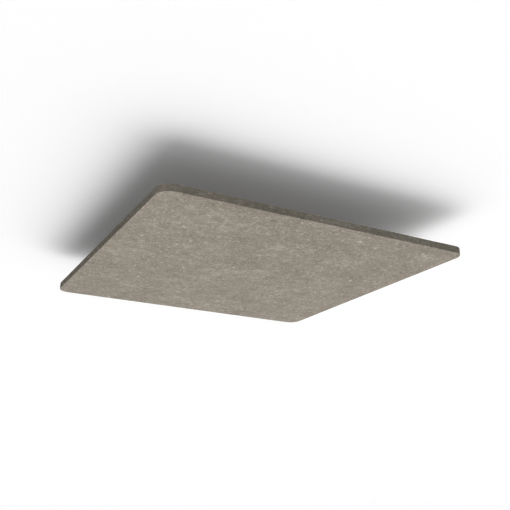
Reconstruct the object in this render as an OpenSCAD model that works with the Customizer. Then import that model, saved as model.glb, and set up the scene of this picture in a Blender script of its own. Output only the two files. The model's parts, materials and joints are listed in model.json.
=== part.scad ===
// Square acoustic felt tile with rounded corners, hung level below a ceiling with its plain face down.
// The origin is the centre of the back face, +Z points up to the ceiling, X and Y run along the sides.

/* [Felt board] */
// Width of the tile along X
tile_w = 1200; // [600:10:2400]
// Length of the tile along Y
tile_l = 1200; // [600:10:2400]
// Thickness of the felt
tile_t = 25; // [18:1:50]
// Radius of each corner, seen from below
corner_r = 50; // [10:1:250]
// Radius that eases the cut edge, at the face and at the back
ease_r = 0.5; // [0.2:0.1:4]

/* [Hanger holes] */
// Distance from each side of the tile to the centre of a hanger hole
hole_inset = 200; // [100:5:280]
// Diameter of a hanger hole
hole_d = 8; // [4:0.5:12]
// Depth of a hanger hole below the back face
hole_depth = 14; // [8:0.5:16]

/* [Hidden] */
$fn = 96;
felt_color = [0.58, 0.553, 0.51];

// How far a cut runs past the back face
cut_over = 1;

// Straight stretch of a side along X and along Y, between the two corners
straight_x = tile_w - 2 * corner_r;
straight_y = tile_l - 2 * corner_r;

// Distance between hanger holes along X and along Y
hole_span_x = tile_w - 2 * hole_inset;
hole_span_y = tile_l - 2 * hole_inset;

// Section through the rim, from the axis of a corner out to the side of the tile
module rim_section() {
    square([corner_r - ease_r, tile_t]);
    translate([0, ease_r])
        square([corner_r, tile_t - 2 * ease_r]);
    for (level = [ease_r, tile_t - ease_r])
        translate([corner_r - ease_r, level])
            circle(r = ease_r);
}

// Quarter of the rim, turned about the axis of a corner
module rim_corner() {
    rotate_extrude(angle = 90)
        rim_section();
}

// Straight stretch of the rim, centred on its side and facing +X
module rim_side(length) {
    rotate([90, 0, 0])
        linear_extrude(height = length, center = true)
            rim_section();
}

// The board without its holes: the rim all the way round, and the flat middle that it encloses
module board() {
    for (x = [-1, 1], y = [-1, 1])
        translate([x * straight_x / 2, y * straight_y / 2, 0])
            mirror([x < 0 ? 1 : 0, 0, 0])
                mirror([0, y < 0 ? 1 : 0, 0])
                    rim_corner();
    for (turn = [0, 180]) {
        rotate(turn)
            translate([straight_x / 2, 0, 0])
                rim_side(straight_y);
        rotate(turn + 90)
            translate([straight_y / 2, 0, 0])
                rim_side(straight_x);
    }
    translate([-straight_x / 2, -straight_y / 2, 0])
        cube([straight_x, straight_y, tile_t]);
}

// Blind hole, drilled straight down from the back face
module hanger_hole() {
    translate([0, 0, -hole_depth])
        cylinder(d = hole_d, h = hole_depth + cut_over);
}

// The felt tile, cut from one board
module felt_tile() {
    color(felt_color)
        difference() {
            translate([0, 0, -tile_t])
                board();
            for (x = [-1, 1], y = [-1, 1])
                translate([x * hole_span_x / 2, y * hole_span_y / 2, 0])
                    hanger_hole();
        }
}

felt_tile();
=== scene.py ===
"""Looks of the felt ceiling tile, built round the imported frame. Lengths are in metres, Z is up."""

import json
import math

import bpy
import numpy as np
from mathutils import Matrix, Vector, noise

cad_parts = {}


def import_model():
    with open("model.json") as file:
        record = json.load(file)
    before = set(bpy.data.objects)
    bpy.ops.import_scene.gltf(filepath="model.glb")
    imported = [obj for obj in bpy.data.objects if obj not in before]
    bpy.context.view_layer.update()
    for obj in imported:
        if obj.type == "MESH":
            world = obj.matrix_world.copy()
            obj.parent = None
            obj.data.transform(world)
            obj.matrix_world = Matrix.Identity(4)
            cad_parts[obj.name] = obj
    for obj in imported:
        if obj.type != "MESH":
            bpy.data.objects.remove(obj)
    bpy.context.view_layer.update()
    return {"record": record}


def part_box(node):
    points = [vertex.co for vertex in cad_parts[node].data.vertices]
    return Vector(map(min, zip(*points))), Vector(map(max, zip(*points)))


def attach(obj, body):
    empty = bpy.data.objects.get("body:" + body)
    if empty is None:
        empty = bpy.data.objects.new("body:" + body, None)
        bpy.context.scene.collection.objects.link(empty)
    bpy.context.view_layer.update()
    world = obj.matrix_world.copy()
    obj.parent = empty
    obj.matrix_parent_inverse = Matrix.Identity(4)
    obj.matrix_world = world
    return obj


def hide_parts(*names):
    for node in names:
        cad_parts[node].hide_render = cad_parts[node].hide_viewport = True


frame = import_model()

# Sizes of the tile, from the frame where it holds them
NODE = "felt_tile"
MM = 0.001
LOW, HIGH = (Vector(corner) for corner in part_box(NODE))
HALF = (HIGH.x - LOW.x) / 2
FACE_Z = LOW.z
BACK_Z = HIGH.z
CORNER_R = 0.050
EASE_R = 0.0005
HOLE_MOUNT = next(m for m in frame["record"]["mounts"] if m["name"] == "hanger_holes")
HOLE_AT = HOLE_MOUNT["dims"]["spacing_x_mm"] * MM / 2
HOLE_R = HOLE_MOUNT["dims"]["hole_r_mm"] * MM
HOLE_DEPTH = 0.014

# Where the axes of the round corners stand, and the outline of a flat side inside the eased arris
CORNER_AT = HALF - CORNER_R
FLAT_SIDE = HALF - EASE_R
FLAT_CORNER_R = CORNER_R - EASE_R

# Mesh of a flat side: its widest cells, the lines next to its edge, and the block that a hole is cut in
FLAT_STEP = 0.0080
SIDE_GRADES = (0.0, 0.0020, 0.0055)
HOLE_BLOCK = 0.012
HOLE_BLOCK_CELLS = 8

# Mesh of the rim: steps round an arris, a narrow band by it, steps up the cut, and parts of a cell's edge
EASE_STEPS = 3
EDGE_BAND = 0.0005
SIDE_STEPS = 8
RIM_SPLIT = 3

# Corners of a grid cell, anticlockwise
CELL_CORNERS = ((0, 0), (1, 0), (1, 1), (0, 1))

# Soft mouth of a hole, as shares of its radius and the depths where they lie
HOLE_MOUTH = [(2.0, 0.0), (1.3, 0.0), (1.12, 0.00012), (1.03, 0.00045), (1.0, 0.001)]

# Wall of a hole, as shares of its depth, and bottom of it, as shares of its radius
HOLE_WALL = (0.2, 0.4, 0.6, 0.8, 0.95)
HOLE_BOTTOM = (0.93, 0.5, 0.0)

# Relief of the felt: heights, and how many waves go into a metre
SWELL_HEIGHT, SWELL_WAVES = 0.00022, 9
CLUMP_HEIGHT, CLUMP_WAVES = 0.00012, 36
TUFT_HEIGHT, TUFT_WAVES = 0.00030, 190

# Pattern of the felt: how it is squeezed along each axis, and where in it the board is cut
PATTERN_SQUEEZE = (1.0, 1.0, 1.6)
PATTERN_START = (4.9, -3.15, 2.17)

# Colours of the felt from its darkest to its palest tone, as they look on screen
MIDDLE_TONE = 0.5
FELT_COLORS = [(0.0, (81, 76, 68)), (MIDDLE_TONE, (148, 140, 128)), (1.0, (218, 209, 196))]

# Ground of the felt: the scale and detail of each noise in it, and how much it adds to the tone
NOISE_MIDDLE = 0.5
GROUND_LAYERS = [(5.5, 1.0, 0.18), (22.0, 1.0, 0.20), (70.0, 2.0, 0.12)]
NAP_SCALE, NAP_DETAIL, NAP_ROUGHNESS, NAP_GAIN = 300.0, 2.0, 0.6, 0.25

# Kinds of fibre, by the scale of their noise and the width of their lines in it
FIBRE_KINDS = [(34.0, 0.018), (48.0, 0.022), (72.0, 0.028)]

# Pale and dark fibres: their seed, how much of the felt they leave bare, and what they add to the tone
PALE_SEED, PALE_BARE, PALE_GAIN = 1.0, 0.50, 0.32
DARK_SEED, DARK_BARE, DARK_GAIN = 4.0, 0.52, -0.28

# How far apart in the noise two seeds lie, and the second noise that breaks the fibres up
SEED_STEP = (1.0, 1.7, 0.6)
BREAK_SHIFT = (3.1, 0.0, 0.0)
BREAK_SCALE = 1.1
BREAK_EDGE = 0.08

# Surface of the felt: its fine bumps, made up of nap and pale fibres, and its dull finish
BUMP_STRENGTH, BUMP_HEIGHT = 0.5, 0.0006
BUMP_NAP, BUMP_FIBRE = 0.6, 0.4
FELT_ROUGHNESS, FELT_SPECULAR = 0.95, 0.03

# Where the parts of the board lie on its map, as left, bottom, width and height
MAP_NAME = "OFBake"
FACE_MAP = (0.004, 0.092, 0.492, 0.904)
BACK_MAP = (0.504, 0.092, 0.492, 0.904)
RIM_MAPS = [(0.004, 0.004 + 0.022 * row, 0.992, 0.018) for row in range(4)]

# Camera, measured from the photograph's vanishing points
EYE = (-1.2695, -2.3815, -0.8940)
EYE_YAW = -28.86
EYE_PITCH = 19.395
LENS_MM = 50
SENSOR_MM = 36

# Backdrop above the tile and floor below it
WHITE = (1.0, 1.0, 1.0, 1.0)
STAGE_REACH = 300
BACKDROP_GAP = 0.118
BACKDROP_COLOR = (0.97, 0.97, 0.97, 1.0)
BACKDROP_GLOW = 0.09
FLOOR_DROP = 2.4
FLOOR_COLOR = (0.98, 0.98, 0.98, 1.0)

# Soft lights from below, as azimuth, elevation and strength
SOFT_LIGHTS = [(60, -44.5, 3.15), (44.5, -15, 2.6)]

# Cosine of the angle at which a soft light starts, and the value past its middle that would give it in full
SOFT_FROM, SOFT_TO = 0.715, 1.055

# Fill light from below: its strength, how far below level it starts to fade, and which way it leans
FILL_LEVEL = 0.31
FILL_FADE = 0.065
FILL_LEAN = (0.78, -0.19, 0.0)


def linear(red, green, blue):
    """A colour written as it looks on screen, 0 to 255, as the linear colour that shaders take."""
    def channel(value):
        value = value / 255
        return value / 12.92 if value <= 0.04045 else ((value + 0.055) / 1.055) ** 2.4
    return (channel(red), channel(green), channel(blue), 1.0)


def add_object(name, data):
    """A new object in the scene."""
    made = bpy.data.objects.new(name, data)
    bpy.context.collection.objects.link(made)
    return made


# Shader building


class Net:
    """A node tree in the making: each call adds one node and gives back its output socket."""

    def __init__(self, owner):
        owner.use_nodes = True
        self.tree = owner.node_tree
        self.tree.nodes.clear()

    def add(self, kind, inputs=None, output=0, **settings):
        """Any kind of node. An input is a number, a colour or the output socket of another node."""
        made = self.tree.nodes.new(kind)
        for key, value in settings.items():
            setattr(made, key, value)
        for key, value in (inputs or {}).items():
            if isinstance(value, bpy.types.NodeSocket):
                self.tree.links.new(value, made.inputs[key])
            else:
                made.inputs[key].default_value = value
        return made.outputs[output] if made.outputs else None

    def math(self, operation, first, second=0.0):
        return self.add("ShaderNodeMath", {0: first, 1: second}, operation=operation)

    def shift(self, vector, offset):
        return self.add("ShaderNodeVectorMath", {0: vector, 1: offset}, operation="ADD")

    def dot(self, vector, other):
        inputs = {0: vector, 1: other}
        return self.add("ShaderNodeVectorMath", inputs, output="Value", operation="DOT_PRODUCT")

    def stretch(self, vector, factors):
        return self.add("ShaderNodeVectorMath", {0: vector, 1: factors}, operation="MULTIPLY")

    def noise(self, vector, scale, detail, roughness=0.5, distortion=0.0):
        inputs = {"Vector": vector, "Scale": scale, "Detail": detail,
                  "Roughness": roughness, "Distortion": distortion}
        return self.add("ShaderNodeTexNoise", inputs)

    def ramp(self, value, low, high, to_low=0.0, to_high=1.0):
        """A smooth run from one level to another, while a value goes from low to high."""
        inputs = {"Value": value, "From Min": low, "From Max": high, "To Min": to_low, "To Max": to_high}
        return self.add("ShaderNodeMapRange", inputs, interpolation_type="SMOOTHSTEP")

    def palette(self, value, stops):
        """A run of colours along a value, from a list of places and colours."""
        color = self.add("ShaderNodeValToRGB", {"Fac": value})
        band = color.node.color_ramp
        for place, _ in stops[1:-1]:
            band.elements.new(place)
        for element, (place, shade) in zip(band.elements, stops):
            element.position = place
            element.color = shade
        return color

    def surface(self, kind, shader):
        """The last node, which takes the finished shader."""
        self.add(kind, {"Surface": shader})


def threads(net, coords, seed, scale, width, bare):
    """Short curled threads: contour lines of a noise, broken up by a second noise."""
    here = net.shift(coords, [seed * step for step in SEED_STEP])
    lines = net.noise(here, scale, detail=1.0, distortion=1.0)
    off_line = net.math("ABSOLUTE", net.math("SUBTRACT", lines, NOISE_MIDDLE))
    thread = net.ramp(off_line, 0.0, width, 1.0, 0.0)
    breaks = net.noise(net.shift(here, BREAK_SHIFT), scale * BREAK_SCALE, detail=0.0)
    return net.math("MULTIPLY", thread, net.ramp(breaks, bare, bare + BREAK_EDGE))


def fibres(net, coords, seed, bare):
    """Threads of every kind, laid over each other."""
    laid = 0.0
    for k, (scale, width) in enumerate(FIBRE_KINDS):
        laid = net.math("MAXIMUM", laid, threads(net, coords, seed + k, scale, width, bare))
    return laid


def felt_material():
    """Heathered grey-brown felt: a mottled ground, a fine nap, and pale and dark curled fibres."""
    material = bpy.data.materials.new("heather_felt")
    net = Net(material)
    squeezed = net.stretch(net.add("ShaderNodeTexCoord", output="Object"), PATTERN_SQUEEZE)
    coords = net.shift(squeezed, PATTERN_START)

    ground = [(net.noise(coords, scale, detail), gain) for scale, detail, gain in GROUND_LAYERS]
    nap = net.noise(coords, NAP_SCALE, NAP_DETAIL, roughness=NAP_ROUGHNESS)
    ground.append((nap, NAP_GAIN))
    pale = fibres(net, coords, PALE_SEED, PALE_BARE)
    dark = fibres(net, coords, DARK_SEED, DARK_BARE)
    tone = MIDDLE_TONE - NOISE_MIDDLE * sum(gain for _, gain in ground)
    for layer, gain in ground + [(pale, PALE_GAIN), (dark, DARK_GAIN)]:
        tone = net.math("ADD", net.math("MULTIPLY", layer, gain), tone)
    color = net.palette(tone, [(place, linear(*shade)) for place, shade in FELT_COLORS])

    nap_height = net.math("MULTIPLY", nap, BUMP_NAP)
    fibre_height = net.math("MULTIPLY", pale, BUMP_FIBRE)
    height = net.math("ADD", nap_height, fibre_height)
    inputs = {"Strength": BUMP_STRENGTH, "Distance": BUMP_HEIGHT, "Height": height}
    bump = net.add("ShaderNodeBump", inputs)
    inputs = {"Base Color": color, "Roughness": FELT_ROUGHNESS, "Specular IOR Level": FELT_SPECULAR,
              "Normal": bump}
    net.surface("ShaderNodeOutputMaterial", net.add("ShaderNodeBsdfPrincipled", inputs))
    return material


# Outline and grid of the felt board


def grid_lines():
    """Places of the grid lines across the flat of the tile, finer at its sides and round the holes."""
    marks = [FLAT_SIDE - grade for grade in SIDE_GRADES]

    def run_to(end, step):
        start = marks[-1]
        count = max(1, math.ceil((start - end) / step))
        marks.extend(start + (end - start) * (k + 1) / count for k in range(count))

    run_to(CORNER_AT, FLAT_STEP)
    run_to(HOLE_AT + HOLE_BLOCK, FLAT_STEP)
    run_to(HOLE_AT - HOLE_BLOCK, 2 * HOLE_BLOCK / HOLE_BLOCK_CELLS)
    run_to(0.0, FLAT_STEP)
    return np.array([-mark for mark in marks] + marks[-2::-1])


def hole_block(lines, center):
    """Run of grid cells, along one axis, that a hole at a place is cut in."""
    first = int(np.argmin(np.abs(lines - (center - HOLE_BLOCK))))
    return slice(first, first + HOLE_BLOCK_CELLS)


def round_corners(x, y):
    """Bends a square grid so that its corners follow the round corners of the tile."""
    s = np.clip((np.abs(x) - CORNER_AT) / FLAT_CORNER_R, 0, None)
    t = np.clip((np.abs(y) - CORNER_AT) / FLAT_CORNER_R, 0, None)
    in_corner = (s > 0) & (t > 0)
    pull = np.maximum(s, t) / np.where(in_corner, np.hypot(s, t), 1)
    bent_x = np.sign(x) * (CORNER_AT + FLAT_CORNER_R * s * pull)
    bent_y = np.sign(y) * (CORNER_AT + FLAT_CORNER_R * t * pull)
    return np.where(in_corner, bent_x, x), np.where(in_corner, bent_y, y)


def outward(x, y):
    """Direction square to the tile's outline, at points on it."""
    dx = np.sign(x) * np.clip(np.abs(x) - CORNER_AT, 0, None)
    dy = np.sign(y) * np.clip(np.abs(y) - CORNER_AT, 0, None)
    length = np.hypot(dx, dy)
    return dx / length, dy / length


def along_outline(start, end, share):
    """A point on the outline of a flat side, part of the way from one point on it to another."""
    point = start + (end - start) * share
    over = np.abs(point[:2]) - CORNER_AT
    if over.min() > 0:
        center = np.sign(point[:2]) * CORNER_AT
        point[:2] = center + (point[:2] - center) * FLAT_CORNER_R / np.hypot(*over)
    return point


def border(index):
    """The border of a square table of vertex numbers, once round, anticlockwise from above."""
    return [*index[:-1, 0], *index[-1, :-1], *index[:0:-1, -1], *index[0, :0:-1]]


def edges(loop):
    """Pairs of neighbours round a closed loop."""
    return list(zip(loop, loop[1:] + loop[:1]))


def around(cx, cy, radius, angles):
    """Points on a circle, at a list of angles."""
    return [(cx + radius * math.cos(a), cy + radius * math.sin(a)) for a in angles]


def running_share(steps):
    """Where each of a row of steps starts and the last one ends, as shares of the whole row."""
    places = np.cumsum([0.0, *steps])
    return places / places[-1]


def map_flat(x, y, area):
    """Place on the map of a point on a flat side."""
    left, bottom, width, height = area
    return left + width * (x / HALF + 1) / 2, bottom + height * (y / HALF + 1) / 2


# Mesh of the felt board


class Board:
    """Points and faces of the felt board, and the place of each corner on the map."""

    def __init__(self):
        self.points = []
        self.faces = []
        self.places = []

    def add_points(self, points):
        """Takes in points and gives back their numbers."""
        start = len(self.points)
        self.points.extend(points)
        return list(range(start, len(self.points)))

    def add_face(self, corners, places):
        self.faces.append(corners)
        self.places.extend(places)

    def mesh(self, name):
        """The mesh with its map, without the points that no face uses."""
        used = sorted({k for face in self.faces for k in face})
        number = {old: new for new, old in enumerate(used)}
        points = [self.points[k] for k in used]
        faces = [[number[k] for k in face] for face in self.faces]
        made = bpy.data.meshes.new(name)
        made.from_pydata(points, [], faces)
        layer = made.uv_layers.new(name=MAP_NAME)
        layer.data.foreach_set("uv", np.array(self.places).ravel())
        made.shade_smooth()
        return made


def split_border(board, index):
    """Puts more points on the border of a flat side. Gives back the ring, and the new points by edge."""
    ring = []
    between = {}
    for start, end in edges(border(index)):
        ends = [np.array(board.points[k]) for k in (start, end)]
        extra = board.add_points([along_outline(*ends, k / RIM_SPLIT) for k in range(1, RIM_SPLIT)])
        ring += [start, *extra]
        between[start, end] = extra
    return ring, between


def split_cell(quad, between):
    """Faces of one grid cell. Points on its outer edges are joined to the corners across from them."""
    if not any(edge in between for edge in edges(quad)):
        return [quad]
    while (quad[0], quad[1]) not in between or (quad[-1], quad[0]) in between:
        quad = quad[1:] + quad[:1]
    chain, inner = quad[:1], quad[1:]
    while (chain[-1], inner[0]) in between:
        chain = chain + between[chain[-1], inner[0]] + inner[:1]
        inner = inner[1:]
    middle = (len(chain) - 1) // 2
    faces = []
    for k, (start, end) in enumerate(zip(chain, chain[1:])):
        if k < middle:
            across = inner[-1:]
        elif k > middle:
            across = inner[:1]
        else:
            across = inner
        faces.append([start, end, *across])
    return faces


def add_flat(board, lines, z, facing_up, holes, area):
    """One flat side of the board; gives back the table of its points and the ring of its border.

    Each cell starts at its outermost corner, so that the diagonal that splits it runs outward.
    """
    x, y = round_corners(*np.meshgrid(lines, lines, indexing="ij"))
    flat_points = [(a, b, z) for a, b in zip(x.ravel(), y.ravel())]
    index = np.array(board.add_points(flat_points)).reshape(x.shape)
    ring, between = split_border(board, index)
    cells = len(lines) - 1
    whole = np.ones((cells, cells), bool)
    for cx, cy in holes:
        whole[hole_block(lines, cx), hole_block(lines, cy)] = False
    for i, j in np.argwhere(whole):
        quad = [index[i + a, j + b] for a, b in CELL_CORNERS]
        outermost = CELL_CORNERS.index((2 * i >= cells, 2 * j >= cells))
        for face in split_cell(quad[outermost:] + quad[:outermost], between):
            face = face if facing_up else [face[0], *face[:0:-1]]
            board.add_face(face, [map_flat(*board.points[k][:2], area) for k in face])
    return index, ring


def rim_section():
    """Section of the rim from the face up to the back, as how far out from a flat side, and how high."""
    turns = [math.pi / 2 * k / EASE_STEPS for k in range(EASE_STEPS + 1)]
    lower = [(EASE_R * math.sin(a), FACE_Z + EASE_R * (1 - math.cos(a))) for a in turns]
    upper = [(out, FACE_Z + BACK_Z - z) for out, z in reversed(lower)]
    straight = np.linspace(lower[-1][1] + EDGE_BAND, upper[0][1] - EDGE_BAND, SIDE_STEPS + 1)
    return lower + [(EASE_R, z) for z in straight] + upper


def add_rim(board, face_ring, back_ring):
    """The cut edge: an eased arris, the straight cut, and the other arris."""
    section = rim_section()
    points = np.array([board.points[k] for k in face_ring])
    nx, ny = outward(points[:, 0], points[:, 1])
    rings = [face_ring]
    for out, z in section[1:-1]:
        spots = [(p[0] + out * a, p[1] + out * b, z) for p, a, b in zip(points, nx, ny)]
        rings.append(board.add_points(spots))
    rings.append(back_ring)

    count = len(face_ring)
    per_side = count // len(RIM_MAPS)
    steps = [math.dist(a[:2], b[:2]) for a, b in zip(points, np.roll(points, -1, axis=0))]
    along = [running_share(side) for side in np.reshape(steps, (-1, per_side))]
    climb = running_share([math.dist(a, b) for a, b in zip(section, section[1:])])
    for k in range(count):
        side, step = divmod(k, per_side)
        left, bottom, width, height = RIM_MAPS[side]
        for row in range(len(section) - 1):
            quad = [rings[row + up][(k + on) % count] for on, up in CELL_CORNERS]
            places = [(left + width * along[side][step + on], bottom + height * climb[row + up])
                      for on, up in CELL_CORNERS]
            board.add_face(quad, places)


def add_hole(board, block, cx, cy):
    """A blind hole with a softly rounded mouth, inside a block of open cells."""
    wall = [(1.0, HOLE_DEPTH * share) for share in HOLE_WALL]
    bottom = [(share, HOLE_DEPTH) for share in HOLE_BOTTOM]
    section = HOLE_MOUTH + wall + bottom
    on_map = [HOLE_MOUTH[0][0], *np.linspace(HOLE_MOUTH[1][0], 0.0, len(section) - 1)]
    outer = border(block)
    outer_places = [map_flat(*board.points[k][:2], BACK_MAP) for k in outer]
    angles = [math.atan2(board.points[k][1] - cy, board.points[k][0] - cx) for k in outer]
    for (share, depth), map_share in zip(section, on_map):
        spots = [(x, y, BACK_Z - depth) for x, y in around(cx, cy, HOLE_R * share, angles)]
        inner = board.add_points(spots) if share else board.add_points(spots[:1]) * len(outer)
        inner_places = [map_flat(*spot, BACK_MAP) for spot in around(cx, cy, HOLE_R * map_share, angles)]
        outer_edges = edges(list(zip(outer, outer_places)))
        inner_edges = edges(list(zip(inner, inner_places)))
        for (start, end), (inner_start, inner_end) in zip(outer_edges, inner_edges):
            corners = [start, end, inner_end, inner_start] if share else [start, end, inner_start]
            board.add_face(*zip(*corners))
        outer, outer_places = inner, inner_places


def relief(point, normal):
    """How far the felt stands proud at a point: a soft swell all over, and tufts on the cut edge."""
    swell = SWELL_HEIGHT * noise.noise(point * SWELL_WAVES)
    clump = CLUMP_HEIGHT * noise.noise(point * CLUMP_WAVES)
    tuft = TUFT_HEIGHT * noise.noise(point * TUFT_WAVES)
    return swell + clump + (1 - abs(normal.z)) * tuft


def felt_board():
    """The whole board as one closed mesh."""
    board = Board()
    lines = grid_lines()
    holes = [(x, y) for x in (-HOLE_AT, HOLE_AT) for y in (-HOLE_AT, HOLE_AT)]
    _, face_ring = add_flat(board, lines, FACE_Z, False, [], FACE_MAP)
    back, back_ring = add_flat(board, lines, BACK_Z, True, holes, BACK_MAP)
    add_rim(board, face_ring, back_ring)
    for cx, cy in holes:
        rows, columns = hole_block(lines, cx), hole_block(lines, cy)
        block = back[rows.start:rows.stop + 1, columns.start:columns.stop + 1]
        add_hole(board, block, cx, cy)
    mesh = board.mesh("felt_board")
    raised = [v.co + v.normal * relief(v.co, v.normal) for v in mesh.vertices]
    mesh.vertices.foreach_set("co", np.array(raised).ravel())
    return add_object("felt_board", mesh)


# Stage, light and camera


def stage_plane(name, z, facing_up):
    """A wide level plane that only the camera sees, with one face."""
    r = STAGE_REACH
    corners = [(-r, -r, z), (r, -r, z), (r, r, z), (-r, r, z)]
    mesh = bpy.data.meshes.new(name)
    mesh.from_pydata(corners if facing_up else corners[::-1], [], [(0, 1, 2, 3)])
    plane = add_object(name, mesh)
    plane.visible_diffuse = False
    plane.visible_glossy = False
    plane.visible_transmission = False
    plane.visible_shadow = False
    return plane


def backdrop():
    """The pale surface above the tile, which takes its shadow. It has one side: from above it is clear."""
    plane = stage_plane("backdrop", BACK_Z + BACKDROP_GAP, False)
    material = bpy.data.materials.new("backdrop")
    net = Net(material)
    pale = net.add("ShaderNodeBsdfDiffuse", {"Color": BACKDROP_COLOR})
    glow = net.add("ShaderNodeEmission", {"Color": WHITE, "Strength": BACKDROP_GLOW})
    front = net.add("ShaderNodeAddShader", {0: pale, 1: glow})
    clear = net.add("ShaderNodeBsdfTransparent")
    far_side = net.add("ShaderNodeNewGeometry", output="Backfacing")
    shown = net.add("ShaderNodeMixShader", {0: far_side, 1: front, 2: clear})
    net.surface("ShaderNodeOutputMaterial", shown)
    plane.data.materials.append(material)


def floor():
    """A plain pale floor, well below the tile."""
    plane = stage_plane("floor", FACE_Z - FLOOR_DROP, True)
    material = bpy.data.materials.new("floor")
    net = Net(material)
    glow = net.add("ShaderNodeEmission", {"Color": FLOOR_COLOR, "Strength": 1.0})
    net.surface("ShaderNodeOutputMaterial", glow)
    plane.data.materials.append(material)


def toward(azimuth, elevation):
    """Direction from the tile to a light, from its angles in degrees."""
    turn, rise = math.radians(azimuth), math.radians(elevation)
    return Vector((math.cos(rise) * math.cos(turn), math.cos(rise) * math.sin(turn), math.sin(rise)))


def sun(name, strength, spread, azimuth, elevation, color):
    """Even light from one direction, which lights what it meets and doesn't bounce on to the backdrop."""
    data = bpy.data.lights.new(name, "SUN")
    data.energy = strength * math.pi
    data.color = color
    data.angle = math.radians(spread)
    data.cycles.max_bounces = 0
    lamp = add_object(name, data)
    lamp.rotation_euler = toward(azimuth, elevation).to_track_quat("Z", "Y").to_euler()


def world():
    """Soft lights and a fill from below, and white where the camera sees past everything."""
    made = bpy.data.worlds.new("studio")
    net = Net(made)
    direction = net.add("ShaderNodeTexCoord", output="Generated")
    upward = net.add("ShaderNodeSeparateXYZ", {0: direction}, output="Z")
    fill = net.ramp(upward, -FILL_FADE, 0.0, FILL_LEVEL, 0.0)
    lean = net.math("ADD", 1.0, net.dot(direction, FILL_LEAN))
    strength = net.math("MULTIPLY", fill, lean)
    for azimuth, elevation, level in SOFT_LIGHTS:
        nearness = net.dot(direction, toward(azimuth, elevation))
        soft_light = net.ramp(nearness, SOFT_FROM, SOFT_TO, 0.0, level)
        strength = net.math("ADD", strength, soft_light)
    light = net.add("ShaderNodeBackground", {"Color": WHITE, "Strength": strength})
    white = net.add("ShaderNodeBackground", {"Color": WHITE, "Strength": 1.0})
    seen = net.add("ShaderNodeLightPath", output="Is Camera Ray")
    both = net.add("ShaderNodeMixShader", {0: seen, 1: light, 2: white})
    net.surface("ShaderNodeOutputWorld", both)
    bpy.context.scene.world = made


def camera():
    """The camera, where the photograph was taken from."""
    data = bpy.data.cameras.new("camera")
    data.lens = LENS_MM
    data.sensor_width = SENSOR_MM
    data.clip_end = 4 * STAGE_REACH
    eye = add_object("camera", data)
    eye.location = EYE
    eye.rotation_euler = (math.radians(90 + EYE_PITCH), 0, math.radians(EYE_YAW))
    bpy.context.scene.camera = eye


camera()
backdrop()
floor()
world()
sun("light_side", strength=0.375, spread=40, azimuth=222, elevation=25, color=(0.955, 1.0, 1.0))
sun("light_above", strength=0.80, spread=20, azimuth=0, elevation=90, color=(1.0, 1.0, 1.0))
bpy.context.scene.view_settings.view_transform = "Standard"

tile = felt_board()
tile.data.materials.append(felt_material())
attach(tile, "root")
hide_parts(NODE)
